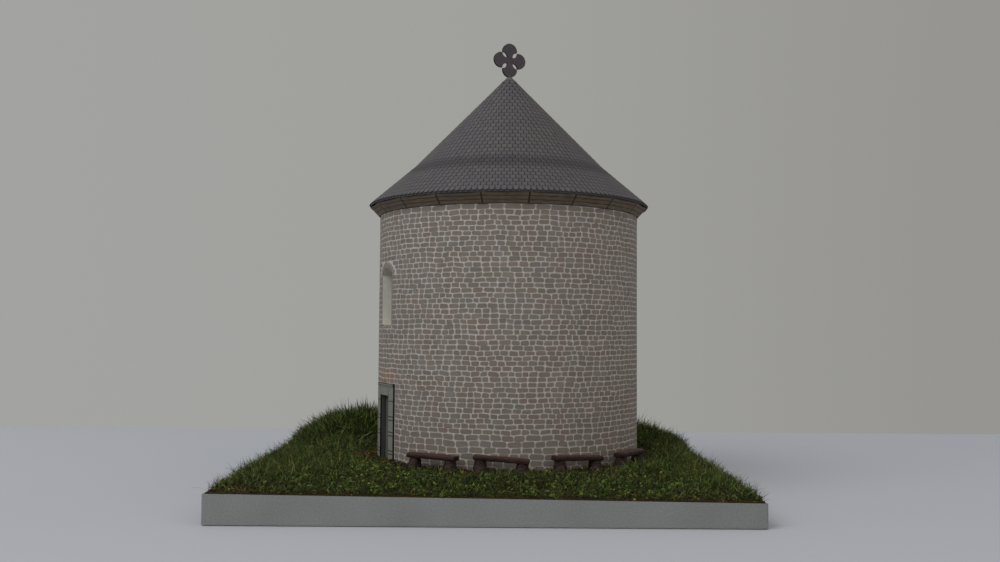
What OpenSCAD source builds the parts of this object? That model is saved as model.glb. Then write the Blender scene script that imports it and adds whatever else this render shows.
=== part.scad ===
// Card model of a round stone chapel on a square display base.
// Millimetres, +Z up, origin at the centre of the underside of the base.
// The near edge of the base faces -Y. Bearings are degrees from -Y, positive towards +X.

/* [Base] */
// Side of the square base
base_w = 200; // [188:1:260]
// Thickness of the foam board inside the edging
board_t = 8.6; // [6:0.1:14]
// Height of the card edging at its left end
edging_h_left = 11.1; // [9:0.1:16]
// Height of the card edging at its right end
edging_h_right = 9; // [8.8:0.1:16]
// Thickness of the card edging
edging_t = 1; // [0.5:0.1:2]
// Gap between the table and the underside of the card edging
edging_lift = 0.4; // [0:0.1:1]
// Radius of the upright corners of the edging
corner_r = 0.8; // [0.2:0.1:0.9]

/* [Ground] */
// Height of the level ground round the tower, above the board
ground_t = 5.4; // [3.5:0.1:10]
// Width of the level ring that the benches stand on
level_w = 14; // [12:0.5:18]
// Height that the turf rises above the edging at its border
turf_edge_t = 0.4; // [0.2:0.1:1.5]
// Height of the mound at the far left
mound_left_h = 9.5; // [0:0.5:14]
// Height of the mound at the far right
mound_right_h = 6; // [0:0.5:12]
// Gap between the turf and the foot of the tower
turf_gap = 0.25; // [0.2:0.05:0.6]

/* [Tower] */
// Outer radius of the round wall
wall_r = 58; // [48:0.5:62]
// Thickness of the wall
wall_t = 1.2; // [0.8:0.1:3]
// Height of the wall above the board
wall_h = 111.6; // [100:0.2:140]
// Sideways place of the tower on the base
tower_x = 8.5; // [0:0.5:12]
// Bearing of the door and of the window above it
bay_bearing = -65; // [-90:1:-40]
// Half of the angle that the wall's bay with the door and the window takes up
bay_half = 13; // [12:0.5:20]

/* [Door] */
// Clear width of the doorway
door_w = 10.6; // [8:0.2:14]
// Clear height of the doorway above the ground
door_h = 27.6; // [20:0.2:36]
// Depth of the doorway from the face of the surround to the door
door_depth = 2.8; // [2:0.1:5]
// Width of each stone jamb
jamb_w = 4.7; // [2.5:0.1:6]
// Height of the lintel
lintel_h = 3.7; // [2.5:0.1:6]
// Thickness of the surround, which follows the wall
surround_t = 0.6; // [0.3:0.1:1.5]
// Height of the moulding along the top of the lintel
cap_h = 1.4; // [0.5:0.1:2]
// How far that moulding stands out from the lintel
cap_out = 0.2; // [0.1:0.1:1]
// Height of the threshold above the ground
sill_h = 0.6; // [0.3:0.1:2]

/* [Window] */
// Clear width of the window
window_w = 12.5; // [8:0.2:15]
// Height of the window sill above the ground
window_sill_z = 57.7; // [50:0.1:70]
// Height of the straight sides of the window
window_side_h = 21.5; // [14:0.1:26]
// Rise of the arch over the window
window_rise = 3; // [1.5:0.1:6]
// Depth of the window recess
window_depth = 4.2; // [3:0.1:6]

/* [Linings] */
// Thickness of the card that lines the door and window recesses
lining_t = 0.5; // [0.3:0.1:1]
// Thickness of the door and of the window pane
panel_t = 0.8; // [0.5:0.1:2]

/* [Cornice] */
// Number of flat boards round the cornice
cornice_facets = 20; // [20:20]
// Bearing of the middle of its near board
cornice_turn = -1.7; // [-9:0.1:9]
// Height of the sloping face of the cornice
cornice_h = 4.2; // [3:0.1:7]
// Gap between the cornice and the edge of the roof
cornice_gap = 0.2; // [0.1:0.05:0.5]

/* [Roof] */
// How far the eaves stand out from the wall
eaves_out = 4.5; // [3.5:0.1:8]
// Height from the edge of the eaves to the change of slope
skirt_h = 16.8; // [12:0.1:22]
// Radius of the roof at the change of slope
break_r = 43; // [30:0.5:50]
// Height from the change of slope to the point of the upper cone
cone_h = 44.2; // [30:0.5:70]
// Upright thickness of the roof
roof_t = 1.1; // [0.8:0.1:2]

/* [Finial] */
// Radius of the flat top of the roof cap
cap_top_r = 0.9; // [0.7:0.1:2]
// Height of the roof cap
roof_cap_h = 3.2; // [2:0.1:6]
// Thickness of the roof cap beside the cone
roof_cap_t = 0.35; // [0.2:0.05:1]
// Distance from the middle of the cross to the middle of each lobe
lobe_out = 4.3; // [3.6:0.1:5]
// Radius of each lobe of the cross
lobe_r = 3.55; // [3.1:0.05:3.9]
// Length of the lens-shaped gap between two lobes
lens_l = 3.5; // [2:0.1:4]
// Width of that gap
lens_w = 1.7; // [0.8:0.1:2]
// Thickness of the cross
cross_t = 1.1; // [0.6:0.1:2]
// Turn of the cross about the upright axis, its right-hand lobe away from the near edge
cross_turn = 24; // [0:1:45]

/* [Benches] */
// Bearings of the four benches
bench_bearings = [-28, -2.5, 25.5, 52];
// Turn of each bench away from the line of the wall
bench_turns = [0, -3, 3, 7];
// Slope of each seat, falling to the right
bench_slopes = [1, 4, 2.5, 1];
// Length of a seat
seat_l = 22; // [14:0.5:23]
// Depth of a seat, front to back
seat_d = 4.6; // [3:0.1:5]
// Thickness of a seat
seat_t = 1.9; // [1:0.1:3]
// Height of the underside of a seat above the ground, at its middle
seat_z = 4.5; // [3:0.1:6]
// Radius of a log stump
stump_r = 2.25; // [1.2:0.05:2.3]
// Distance between the two stumps of a bench
stump_pitch = 16.4; // [8:0.2:17]
// Gap between the wall and the back of a seat
bench_gap = 3.4; // [2.6:0.1:5]

/* [Hidden] */
$fn = 360;

half_w = base_w / 2;
ground_z = board_t + ground_t;
wall_top = board_t + wall_h;
wall_in_r = wall_r - wall_t;
reach = 2 * base_w;                     // longer than anything that a cut passes through

// Door heights and the opening cut for its lining
door_top = ground_z + door_h;
door_cut_w = door_w + 2 * lining_t;
door_cut_top = door_top + lining_t;
door_back = wall_r + surround_t - door_depth;            // front plane of the door leaf

// Window heights, its arch and the opening cut for its lining
window_sill = ground_z + window_sill_z;
window_spring = window_sill + window_side_h;
arch_r = (pow(window_w / 2, 2) + pow(window_rise, 2)) / (2 * window_rise);
arch_drop = arch_r - window_rise;       // the arch's centre lies this far below the springing
window_face = sqrt(pow(wall_r, 2) - pow(window_w / 2, 2));
window_back = window_face - window_depth;

// Roof levels
eaves_r = wall_r + eaves_out;
cornice_half = 180 / cornice_facets;
cornice_out = eaves_r * cos(cornice_half) - cornice_gap; // flats of the cornice's outer edge
eaves_z = wall_top + cornice_h + roof_t;                 // top of the roof's lower edge
skirt_slope = skirt_h / (eaves_r - break_r);
break_z = eaves_z + skirt_h;
apex_z = break_z + cone_h;
cone_slope = cone_h / break_r;

// Roof cap and cross
cap_top_z = apex_z - cap_top_r * cone_slope + roof_cap_t;
cap_low_z = cap_top_z - roof_cap_h;
cross_foot = lobe_r * 0.97;             // the lowest lobe is cut flat this far below its middle
cross_z = cap_top_z + cross_foot + lobe_out;
lens_r = (pow(lens_l, 2) / 4 + pow(lens_w / 2, 2)) / lens_w;
lens_at = lobe_out * 0.84;              // distance of each gap's middle from the middle of the cross

// Benches
bench_r = wall_r + bench_gap + seat_d / 2;

// Turf: rings from the tower to the border, and steps round each side
level_r = wall_r + level_w;
turf_in_r = wall_r + turf_gap;
turf_rings = 7;
turf_steps = 14;

// ---------- ways of placing ----------

// Moves its children to the tower's axis
module on_tower() {
    translate([tower_x, 0, 0]) children();
}

// Turns its children so that their +X faces outwards at a bearing
module facing(bearing) {
    rotate([0, 0, bearing - 90]) children();
}

// Part of a ring round the tower's axis, between two bearings
module ring_part(r_in, r_out, from, to, z_low, z_high) {
    facing(from) rotate_extrude(angle = to - from)
        translate([r_in, z_low]) square([r_out - r_in, z_high - z_low]);
}

// A block across the wall at a bearing: width across, from one plane to another, low to high
module wall_block(bearing, width, plane_in, plane_out, z_low, z_high) {
    facing(bearing) translate([plane_in, -width / 2, z_low])
        cube([plane_out - plane_in, width, z_high - z_low]);
}

// ---------- base ----------

module base_board() {
    inner = base_w - 2 * edging_t;
    color("#c9c4b8") translate([-inner / 2, -inner / 2, 0]) cube([inner, inner, board_t]);
}

// Height of the edging across the base
function edging_z(x) = edging_h_left + (edging_h_right - edging_h_left) * (x + half_w) / base_w;

// Plan of the base with its upright corners rounded
module base_plan() {
    square([base_w - 2 * corner_r, base_w], center = true);
    square([base_w, base_w - 2 * corner_r], center = true);
    for (x = [-1, 1], y = [-1, 1])
        translate([x * (half_w - corner_r), y * (half_w - corner_r)]) circle(corner_r);
}

// A strip along the near or the far edge, whose top falls to the right
module edging_across(y) {
    color("#77797a") intersection() {
        translate([0, y + edging_t, 0]) rotate([90, 0, 0]) linear_extrude(edging_t) polygon([
            [-half_w, edging_lift], [half_w, edging_lift],
            [half_w, edging_z(half_w)], [-half_w, edging_z(-half_w)]]);
        linear_extrude(reach) base_plan();
    }
}

module edging_front() { edging_across(-half_w); }
module edging_back() { edging_across(half_w - edging_t); }

// A strip along the left or the right edge, between the other two
module edging_along(x, h) {
    color("#77797a") translate([x, -half_w + edging_t, edging_lift])
        cube([edging_t, base_w - 2 * edging_t, h - edging_lift]);
}

module edging_left() { edging_along(-half_w, edging_h_left - 0.05); }
module edging_right() { edging_along(half_w - edging_t, edging_h_right - 0.05); }

// ---------- turf ----------

function smooth(t) = let (u = max(0, min(1, t))) u * u * (3 - 2 * u);

// Distance from the tower's axis to the border of the turf, in a direction
function border_r(a) = let (c = cos(a), s = sin(a), w = half_w - edging_t) min(
    abs(c) < 1e-6 ? reach : ((c > 0 ? w : -w) - tower_x) / c,
    abs(s) < 1e-6 ? reach : w / abs(s));

// Distance of ring i from the axis: two on the level ring, then even steps to the border
function turf_r(i, a) = i == 0 ? turf_in_r :
    level_r + (border_r(a) - level_r) * (i - 1) / (turf_rings - 1);

// Height that a round mound adds at a point
function mound(x, y, at_x, at_y, h) = h * smooth(1 - norm([x - at_x, y - at_y]) / (0.5 * half_w));

// Height of the turf at ring i: level, then falling to the border, with a mound in each far corner
function turf_z(i, a) = i <= 1 ? ground_z : let (
    t = (i - 1) / (turf_rings - 1),
    x = tower_x + turf_r(i, a) * cos(a),
    y = turf_r(i, a) * sin(a),
    border_x = tower_x + border_r(a) * cos(a),
    low = max(edging_z(border_x), board_t) + turf_edge_t)
    ground_z + (low - ground_z) * smooth(t)
        + mound(x, y, -0.7 * half_w, 0.68 * half_w, mound_left_h)
        + mound(x, y, 0.78 * half_w, 0.7 * half_w, mound_right_h);

// One side of the turf, between the directions of two corners of the base
module turf(from, to) {
    rows = turf_rings + 1;
    cols = turf_steps + 1;
    function direction(j) = from + (to - from) * j / turf_steps;
    function at(i, j, top) = let (a = direction(j), r = turf_r(i, a))
        [tower_x + r * cos(a), r * sin(a), top ? turf_z(i, a) : board_t];
    function top_id(i, j) = i * cols + j;
    function low_id(i, j) = rows * cols + i * cols + j;
    points = concat(
        [for (i = [0:rows - 1], j = [0:cols - 1]) at(i, j, true)],
        [for (i = [0:rows - 1], j = [0:cols - 1]) at(i, j, false)]);
    faces = concat(
        [for (i = [0:rows - 2], j = [0:cols - 2]) [top_id(i, j), top_id(i, j + 1), top_id(i + 1, j + 1)]],
        [for (i = [0:rows - 2], j = [0:cols - 2]) [top_id(i, j), top_id(i + 1, j + 1), top_id(i + 1, j)]],
        [for (i = [0:rows - 2], j = [0:cols - 2])
            [low_id(i, j), low_id(i + 1, j), low_id(i + 1, j + 1), low_id(i, j + 1)]],
        [for (i = [0:rows - 2]) [top_id(i, 0), top_id(i + 1, 0), low_id(i + 1, 0), low_id(i, 0)]],
        [for (i = [0:rows - 2])
            [top_id(i, cols - 1), low_id(i, cols - 1), low_id(i + 1, cols - 1), top_id(i + 1, cols - 1)]],
        [for (j = [0:cols - 2]) [top_id(0, j), low_id(0, j), low_id(0, j + 1), top_id(0, j + 1)]],
        [for (j = [0:cols - 2])
            [top_id(rows - 1, j), top_id(rows - 1, j + 1), low_id(rows - 1, j + 1), low_id(rows - 1, j)]]);
    color("#3d4a22") polyhedron(points, faces);
}

// Directions of the corners of the turf from the tower's axis
turf_half = half_w - edging_t;
corner_right = atan2(turf_half, turf_half - tower_x);
corner_left = atan2(turf_half, -turf_half - tower_x);

module ground_front() { turf(-corner_left, -corner_right); }
module ground_right() { turf(-corner_right, corner_right); }
module ground_back() { turf(corner_right, corner_left); }
module ground_left() { turf(corner_left, 360 - corner_left); }

// ---------- round wall ----------

bay_from = bay_bearing - bay_half;
bay_to = bay_bearing + bay_half;
quarter_angle = (360 - 2 * bay_half) / 4;   // the rest of the wall, in four equal pieces

module stone() { color("#8c857c") children(); }

module wall_quarter(i) {
    from = bay_to + i * quarter_angle;
    stone() on_tower() ring_part(wall_in_r, wall_r, from, from + quarter_angle, board_t, wall_top);
}

module wall_front() { wall_quarter(0); }
module wall_right() { wall_quarter(1); }
module wall_back() { wall_quarter(2); }
module wall_left() { wall_quarter(3); }

// Outline of the window, grown all round: straight sides under a segmental arch
module window_outline(grow) {
    w = window_w + 2 * grow;
    translate([-w / 2, window_sill - grow]) square([w, window_side_h + grow]);
    intersection() {
        translate([-w / 2, window_spring - 1]) square([w, window_rise + grow + 2]);
        translate([0, window_spring - arch_drop]) circle(arch_r + grow);
    }
}

// The window's outline carried from one plane to another
module window_prism(grow, plane_in, plane_out) {
    facing(bay_bearing) translate([plane_in, 0, 0]) rotate([90, 0, 90])
        linear_extrude(plane_out - plane_in) window_outline(grow);
}

module window_cut() { window_prism(lining_t, wall_in_r - window_w, wall_r + 1); }

// The wall of the bay on one side of an opening, -1 left or 1 right, between two heights
module bay_side(side, cut_w, z_low, z_high) {
    near = 0.85 * wall_r;               // the cutting outline starts inside the wall
    stone() on_tower() facing(bay_bearing) translate([0, 0, z_low]) linear_extrude(z_high - z_low)
        intersection() {
            difference() {
                circle(wall_r);
                circle(wall_in_r);
            }
            polygon([[near, side * cut_w / 2], [reach, side * cut_w / 2],
                [reach, side * reach * tan(bay_half)], [near, side * near * tan(bay_half)]]);
        }
}

// The whole width of the bay between two heights
module bay_across(z_low, z_high) {
    ring_part(wall_in_r, wall_r, bay_from, bay_to, z_low, z_high);
}

window_low = window_sill - lining_t;
window_cut_w = window_w + 2 * lining_t;
module wall_beside_door_left() { bay_side(-1, door_cut_w, board_t, door_cut_top); }
module wall_beside_door_right() { bay_side(1, door_cut_w, board_t, door_cut_top); }
module wall_over_door() { stone() on_tower() bay_across(door_cut_top, window_low); }
module wall_beside_window_left() { bay_side(-1, window_cut_w, window_low, window_spring); }
module wall_beside_window_right() { bay_side(1, window_cut_w, window_low, window_spring); }
module wall_over_window() {
    stone() on_tower() difference() {
        bay_across(window_spring, wall_top);
        window_cut();
    }
}

// ---------- door ----------

module door_leaf() {
    color("#33312f") on_tower()
        wall_block(bay_bearing, door_cut_w, door_back - panel_t, door_back, board_t, door_cut_top);
}

module door_lining() {
    color("#6b6a66") on_tower() intersection() {
        difference() {
            wall_block(bay_bearing, door_cut_w, door_back, wall_r, board_t, door_cut_top);
            wall_block(bay_bearing, door_w, door_back - 1, wall_r + 1, 0, door_top);
        }
        cylinder(r = wall_r, h = reach);
    }
}

module door_sill() {
    color("#55493a") on_tower() intersection() {
        wall_block(bay_bearing, door_w, door_back, wall_r, board_t, ground_z + sill_h);
        cylinder(r = wall_r, h = reach);
    }
}

// Angles at the wall face from the middle of the doorway to the edges of the surround
door_half = asin(door_w / 2 / wall_r);
surround_half = door_half + jamb_w / wall_r * 180 / PI;
lintel_top = door_top + lintel_h + cap_h;

// Part of the surround, between two angles from its middle
module surround(from, to, out, z_low, z_high) {
    color("#8a8a85") on_tower()
        ring_part(wall_r, wall_r + out, bay_bearing + from, bay_bearing + to, z_low, z_high);
}

module door_jamb_left() { surround(-surround_half, -door_half, surround_t, ground_z, door_top); }
module door_jamb_right() { surround(door_half, surround_half, surround_t, ground_z, door_top); }

module door_lintel() {
    surround(-surround_half, surround_half, surround_t, door_top, lintel_top);
    surround(-surround_half, surround_half, surround_t + cap_out, lintel_top - cap_h, lintel_top);
}

// ---------- window ----------

module window_lining() {
    color("#b9b3a6") on_tower() intersection() {
        difference() {
            window_prism(lining_t, window_back, wall_r);
            window_prism(0, window_back - 1, wall_r + 1);
        }
        cylinder(r = wall_r, h = reach);
    }
}

module window_pane() {
    color("#3a352f") on_tower() window_prism(lining_t, window_back - panel_t, window_back);
}

// ---------- cornice ----------

// Height of the roof's underside at a distance from the axis
function under_roof(r) = eaves_z - roof_t + (eaves_r - r) * skirt_slope;

// Upright distance that leaves the cornice's gap square to the slope
cornice_drop = cornice_gap * sqrt(1 + pow(skirt_slope, 2));

// One flat board of the cornice: a sloping face from the top of the wall out to the eaves.
// It laps by a small angle into the next board of its run.
module cornice_board(lap) {
    corner = 1 / cos(cornice_half);
    top_out = under_roof(cornice_out * corner) - cornice_drop;
    top_in = under_roof(wall_in_r * corner) - cornice_drop;
    intersection() {
        rotate([90, 0, 0]) linear_extrude(reach, center = true) polygon([
            [wall_in_r, wall_top], [wall_r, wall_top], [cornice_out, top_out - 0.3],
            [cornice_out, top_out], [wall_in_r, top_in]]);
        linear_extrude(apex_z) polygon([
            [0, 0], [reach, -reach * tan(cornice_half)], [reach, reach * tan(cornice_half + lap)]]);
    }
}

module cornice(first) {
    last = first + cornice_facets / 2 - 1;
    color("#5d4f3f") on_tower() for (i = [first:last])
        facing(i * 2 * cornice_half + cornice_turn) cornice_board(i < last ? 0.05 : 0);
}

module cornice_front() { cornice(-cornice_facets / 4); }
module cornice_back() { cornice(cornice_facets / 4); }

// ---------- roof ----------

module roof_skirt() {
    color("#54555a") on_tower() rotate_extrude() polygon([
        [eaves_r, eaves_z - roof_t], [eaves_r, eaves_z], [break_r, break_z], [break_r, break_z - roof_t]]);
}

module roof_cone() {
    tip_z = apex_z - cap_top_r * cone_slope;
    color("#54555a") on_tower() rotate_extrude() polygon([
        [break_r, break_z - roof_t], [break_r, break_z], [cap_top_r, tip_z], [0, tip_z],
        [0, tip_z - roof_t]]);
}

// A small metal cap that sits on the point of the cone
module roof_cap() {
    low_in = (apex_z - cap_low_z) / cone_slope;
    color("#5a5c5e") on_tower() rotate_extrude() polygon([
        [0, cap_top_z - roof_cap_t], [cap_top_r, cap_top_z - roof_cap_t], [low_in, cap_low_z],
        [low_in + roof_cap_t, cap_low_z], [cap_top_r, cap_top_z], [0, cap_top_z]]);
}

// ---------- cross ----------

// The gap between two lobes, on the diagonal: the overlap of two circles
module lens() {
    rotate(45) translate([lens_at, 0]) intersection_for (side = [-1, 1])
        translate([0, side * (lens_r - lens_w / 2)]) circle(lens_r);
}

module cross_outline() {
    difference() {
        union() {
            for (quarter = [0:90:270]) rotate(quarter) translate([lobe_out, 0]) circle(lobe_r);
            square(lobe_out, center = true);
        }
        for (quarter = [0:90:270]) rotate(quarter) lens();
    }
}

module cross() {
    color("#47424a") on_tower() intersection() {
        rotate([0, 0, cross_turn]) translate([0, cross_t / 2, cross_z]) rotate([90, 0, 0])
            linear_extrude(cross_t) cross_outline();
        translate([-reach / 2, -reach / 2, cap_top_z]) cube(reach);
    }
}

// ---------- benches ----------

// Places a bench's own frame: +X outwards, +Y along the seat, z 0 on the ground
module at_bench(i) {
    on_tower() facing(bench_bearings[i]) translate([bench_r, 0, ground_z])
        rotate([0, 0, bench_turns[i]]) children();
}

// The sloping underside of a seat is z 0 and its slope falls towards +Y
module on_seat_plane(i) {
    translate([0, 0, seat_z]) rotate([-bench_slopes[i], 0, 0]) children();
}

module bench_seat(i) {
    round_r = seat_t * 0.45;
    color("#5a2f22") at_bench(i) on_seat_plane(i) rotate([90, 0, 0]) linear_extrude(seat_l, center = true) {
        translate([-seat_d / 2, 0]) square([seat_d, seat_t - round_r]);
        translate([-seat_d / 2 + round_r, 0]) square([seat_d - 2 * round_r, seat_t]);
        for (side = [-1, 1]) translate([side * (seat_d / 2 - round_r), seat_t - round_r])
            circle(round_r, $fn = 24);
    }
}

// A log stump under a bench's seat, at its left (-1) or its right (1)
module bench_stump(i, side) {
    color("#3b2a24") at_bench(i) difference() {
        translate([0, side * stump_pitch / 2, 0]) cylinder(r = stump_r, h = seat_z + seat_t);
        on_seat_plane(i) translate([-seat_l, -seat_l, 0]) cube(2 * seat_l);
    }
}

base_board();
edging_front();
edging_right();
edging_back();
edging_left();
ground_front();
ground_right();
ground_back();
ground_left();
wall_front();
wall_right();
wall_back();
wall_left();
wall_beside_door_left();
wall_beside_door_right();
wall_over_door();
wall_beside_window_left();
wall_beside_window_right();
wall_over_window();
door_leaf();
door_lining();
door_sill();
door_jamb_left();
door_jamb_right();
door_lintel();
window_lining();
window_pane();
cornice_front();
cornice_back();
roof_skirt();
roof_cone();
roof_cap();
cross();
bench_seat(0);  // bench_1_seat
bench_stump(0, -1);  // bench_1_stump_left
bench_stump(0, 1);  // bench_1_stump_right
bench_seat(1);  // bench_2_seat
bench_stump(1, -1);  // bench_2_stump_left
bench_stump(1, 1);  // bench_2_stump_right
bench_seat(2);  // bench_3_seat
bench_stump(2, -1);  // bench_3_stump_left
bench_stump(2, 1);  // bench_3_stump_right
bench_seat(3);  // bench_4_seat
bench_stump(3, -1);  // bench_4_stump_left
bench_stump(3, 1);  // bench_4_stump_right
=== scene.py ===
"""Looks for a card model of a round stone chapel on a turfed display base."""

import math
import random

import bpy
from mathutils import Matrix, Vector, noise


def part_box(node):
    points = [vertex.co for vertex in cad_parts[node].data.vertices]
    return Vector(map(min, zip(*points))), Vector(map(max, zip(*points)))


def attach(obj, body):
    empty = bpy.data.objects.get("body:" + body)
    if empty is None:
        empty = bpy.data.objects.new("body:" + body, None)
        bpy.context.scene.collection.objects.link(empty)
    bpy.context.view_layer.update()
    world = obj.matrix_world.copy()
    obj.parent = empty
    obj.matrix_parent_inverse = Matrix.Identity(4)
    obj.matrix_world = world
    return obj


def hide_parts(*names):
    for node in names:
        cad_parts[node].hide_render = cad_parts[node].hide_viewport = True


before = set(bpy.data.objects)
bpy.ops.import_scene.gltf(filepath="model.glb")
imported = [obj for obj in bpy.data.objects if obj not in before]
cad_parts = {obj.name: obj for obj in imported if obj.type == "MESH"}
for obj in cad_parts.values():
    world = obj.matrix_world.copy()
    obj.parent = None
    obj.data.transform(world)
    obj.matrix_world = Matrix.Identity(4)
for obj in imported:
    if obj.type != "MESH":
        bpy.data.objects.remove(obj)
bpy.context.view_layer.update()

MM = 0.001
TURN = 2 * math.pi


# ---------- places, read from the frame ----------

def low(node):
    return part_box(node)[0]


def high(node):
    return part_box(node)[1]


def middle(node):
    return (low(node) + high(node)) / 2


TOWER_X = middle("roof_skirt").x
WALL_R = -low("wall_front").y
WALL_FOOT = low("wall_front").z
WALL_TOP = high("wall_front").z
GROUND_Z = low("door_jamb_left").z
HALF_BASE = high("edging_front").x
BAY = math.atan2(middle("door_leaf").x - TOWER_X, -middle("door_leaf").y)  # bearing of door and window

EAVES_R = (high("roof_skirt") - low("roof_skirt")).x / 2
BREAK_R = (high("roof_cone") - low("roof_cone")).x / 2
BREAK_Z = high("roof_skirt").z
CORNICE_TURN = math.radians(-1.7)       # how far the row of boards is turned
ROOF_T = BREAK_Z - low("roof_cone").z
EAVES_Z = low("roof_skirt").z + ROOF_T
TIP_R = 0.9 * MM
TIP_Z = high("roof_cone").z

CROSS_TURN = math.radians(24)           # how far the cross is turned from facing the front

LINING_T = 0.5 * MM
DOOR_W = 10.6 * MM
DOOR_TOP = low("door_lintel").z
LINTEL_TOP = high("door_lintel").z
SURROUND_HALF = 10 * MM                 # from the middle of the doorway, along the wall
WINDOW_W = 12.5 * MM
WINDOW_SILL = low("window_lining").z + LINING_T
WINDOW_TOP = high("window_lining").z - LINING_T
WINDOW_RISE = 3 * MM
WINDOW_SPRING = WINDOW_TOP - WINDOW_RISE
ARCH_R = (WINDOW_W ** 2 / 4 + WINDOW_RISE ** 2) / (2 * WINDOW_RISE)
ARCH_Z = WINDOW_TOP - ARCH_R            # height of the arch's centre


# ---------- nodes ----------

def add(tree, kind, inputs=None, **settings):
    """Adds a node, sets it up, and fills its inputs with values or with other nodes' outputs."""
    node = tree.nodes.new(kind)
    for name, value in settings.items():
        setattr(node, name, value)
    for name, value in (inputs or {}).items():
        if isinstance(value, bpy.types.NodeSocket):
            tree.links.new(value, node.inputs[name])
        else:
            node.inputs[name].default_value = value
    return node


def sums(tree, operation, a, b=0.0, c=0.0):
    """The output of one Math node."""
    return add(tree, "ShaderNodeMath", {0: a, 1: b, 2: c}, operation=operation).outputs[0]


def linear(hex_colour, alpha=1.0):
    """An sRGB hex colour as the linear values that Blender keeps."""
    parts = [int(hex_colour[i:i + 2], 16) / 255 for i in (1, 3, 5)]
    return [p / 12.92 if p <= 0.04045 else ((p + 0.055) / 1.055) ** 2.4 for p in parts] + [alpha]


def ramp(tree, factor, stops, interpolation="LINEAR"):
    """A colour that runs through (place, hex) stops."""
    node = add(tree, "ShaderNodeValToRGB", {"Fac": factor})
    node.color_ramp.interpolation = interpolation
    band = node.color_ramp.elements
    while len(band) < len(stops):
        band.new(0.5)
    for element, (place, colour) in zip(band, stops):
        element.position, element.color = place, linear(colour)
    return node.outputs["Color"]


def blend(tree, factor, a, b, blend_type="MIX"):
    """Mixes two colours, each a hex value or an output."""
    a = linear(a) if isinstance(a, str) else a
    b = linear(b) if isinstance(b, str) else b
    node = add(tree, "ShaderNodeMix", {0: factor, 6: a, 7: b}, data_type="RGBA", blend_type=blend_type)
    return node.outputs[2]


def rising(tree, value, start_at, end_at, top):
    """A value mapped so that it runs from 0 at start_at to top at end_at."""
    return add(tree, "ShaderNodeMapRange", {"Value": value, "From Min": start_at, "From Max": end_at,
                                            "To Min": 0.0, "To Max": top}).outputs[0]


def grain(tree, vector, size, detail=4.0, stretch=(1, 1, 1)):
    """Noise whose features are about one size across, in metres, stretched along the axes."""
    scaled = add(tree, "ShaderNodeMapping", {"Vector": vector, "Scale": [1 / (size * s) for s in stretch]})
    return add(tree, "ShaderNodeTexNoise",
               {"Vector": scaled.outputs[0], "Scale": 1.0, "Detail": detail}).outputs["Fac"]


def place(tree):
    return add(tree, "ShaderNodeTexCoord").outputs["Object"]


def attribute(tree, name):
    return add(tree, "ShaderNodeAttribute", attribute_name=name).outputs["Fac"]


def start(name, roughness=0.8, specular=0.3):
    """A new material with its shader; the caller gives it a colour and a bump."""
    material = bpy.data.materials.new(name)
    material.use_nodes = True
    tree = material.node_tree
    shader = tree.nodes["Principled BSDF"]
    shader.inputs["Roughness"].default_value = roughness
    shader.inputs["Specular IOR Level"].default_value = specular
    return material, tree, shader


def finish_with(tree, shader, colour, bump=None, depth=0.05 * MM, strength=0.5):
    """Joins a colour, and a height with a depth in metres, to the shader."""
    tree.links.new(colour, shader.inputs["Base Color"])
    if bump is not None:
        node = add(tree, "ShaderNodeBump", {"Height": bump, "Distance": depth, "Strength": strength})
        tree.links.new(node.outputs[0], shader.inputs["Normal"])


# ---------- materials ----------

def mortar_card():
    """Card printed in the pale grey of lime mortar: matt, with a faint mottle from the print."""
    material, tree, shader = start("mortar_printed_card", 0.85, 0.2)
    spot = place(tree)
    mottle = grain(tree, spot, 1.2 * MM)
    broad = grain(tree, spot, 14 * MM, 2)
    colour = ramp(tree, mottle, [(0.3, "#b3ada7"), (0.7, "#c5bfb8")])
    colour = blend(tree, sums(tree, "MULTIPLY", broad, 0.3), colour, "#b5a89c")
    finish_with(tree, shader, colour, mottle, 0.02 * MM)
    return material


def stone_card():
    """Printed field stone: greys with pink, green and brown in them, each stone a little mottled."""
    material, tree, shader = start("field_stone_printed_card", 0.82, 0.22)
    spot = place(tree)
    tint, warm, edge = attribute(tree, "tint"), attribute(tree, "warm"), attribute(tree, "edge")
    colour = ramp(tree, tint, [
        (0.0, "#716b65"), (0.2, "#7f776e"), (0.4, "#77756a"), (0.6, "#85776b"), (0.8, "#7a746e"),
        (1.0, "#877f76")])
    colour = blend(tree, warm, colour, "#9a7355")
    mottle = grain(tree, spot, 0.7 * MM, 3)
    pinker = rising(tree, grain(tree, spot, 9 * MM, 2), 0.5, 0.68, 0.55)
    greener = rising(tree, grain(tree, add(tree, "ShaderNodeMapping", {
        "Vector": spot, "Location": (0.3, 0.1, 0.2)}).outputs[0], 11 * MM, 2), 0.5, 0.68, 0.5)
    colour = blend(tree, greener, colour, "#6a6a5a")
    colour = blend(tree, pinker, colour, "#7b665c")
    colour = blend(tree, sums(tree, "MULTIPLY_ADD", mottle, 0.9, -0.25), colour, "#8a837b")
    colour = blend(tree, sums(tree, "MULTIPLY", sums(tree, "POWER", edge, 2.5), 0.6), colour, "#b4ada6")
    finish_with(tree, shader, colour, mottle, 0.03 * MM)
    return material


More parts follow.
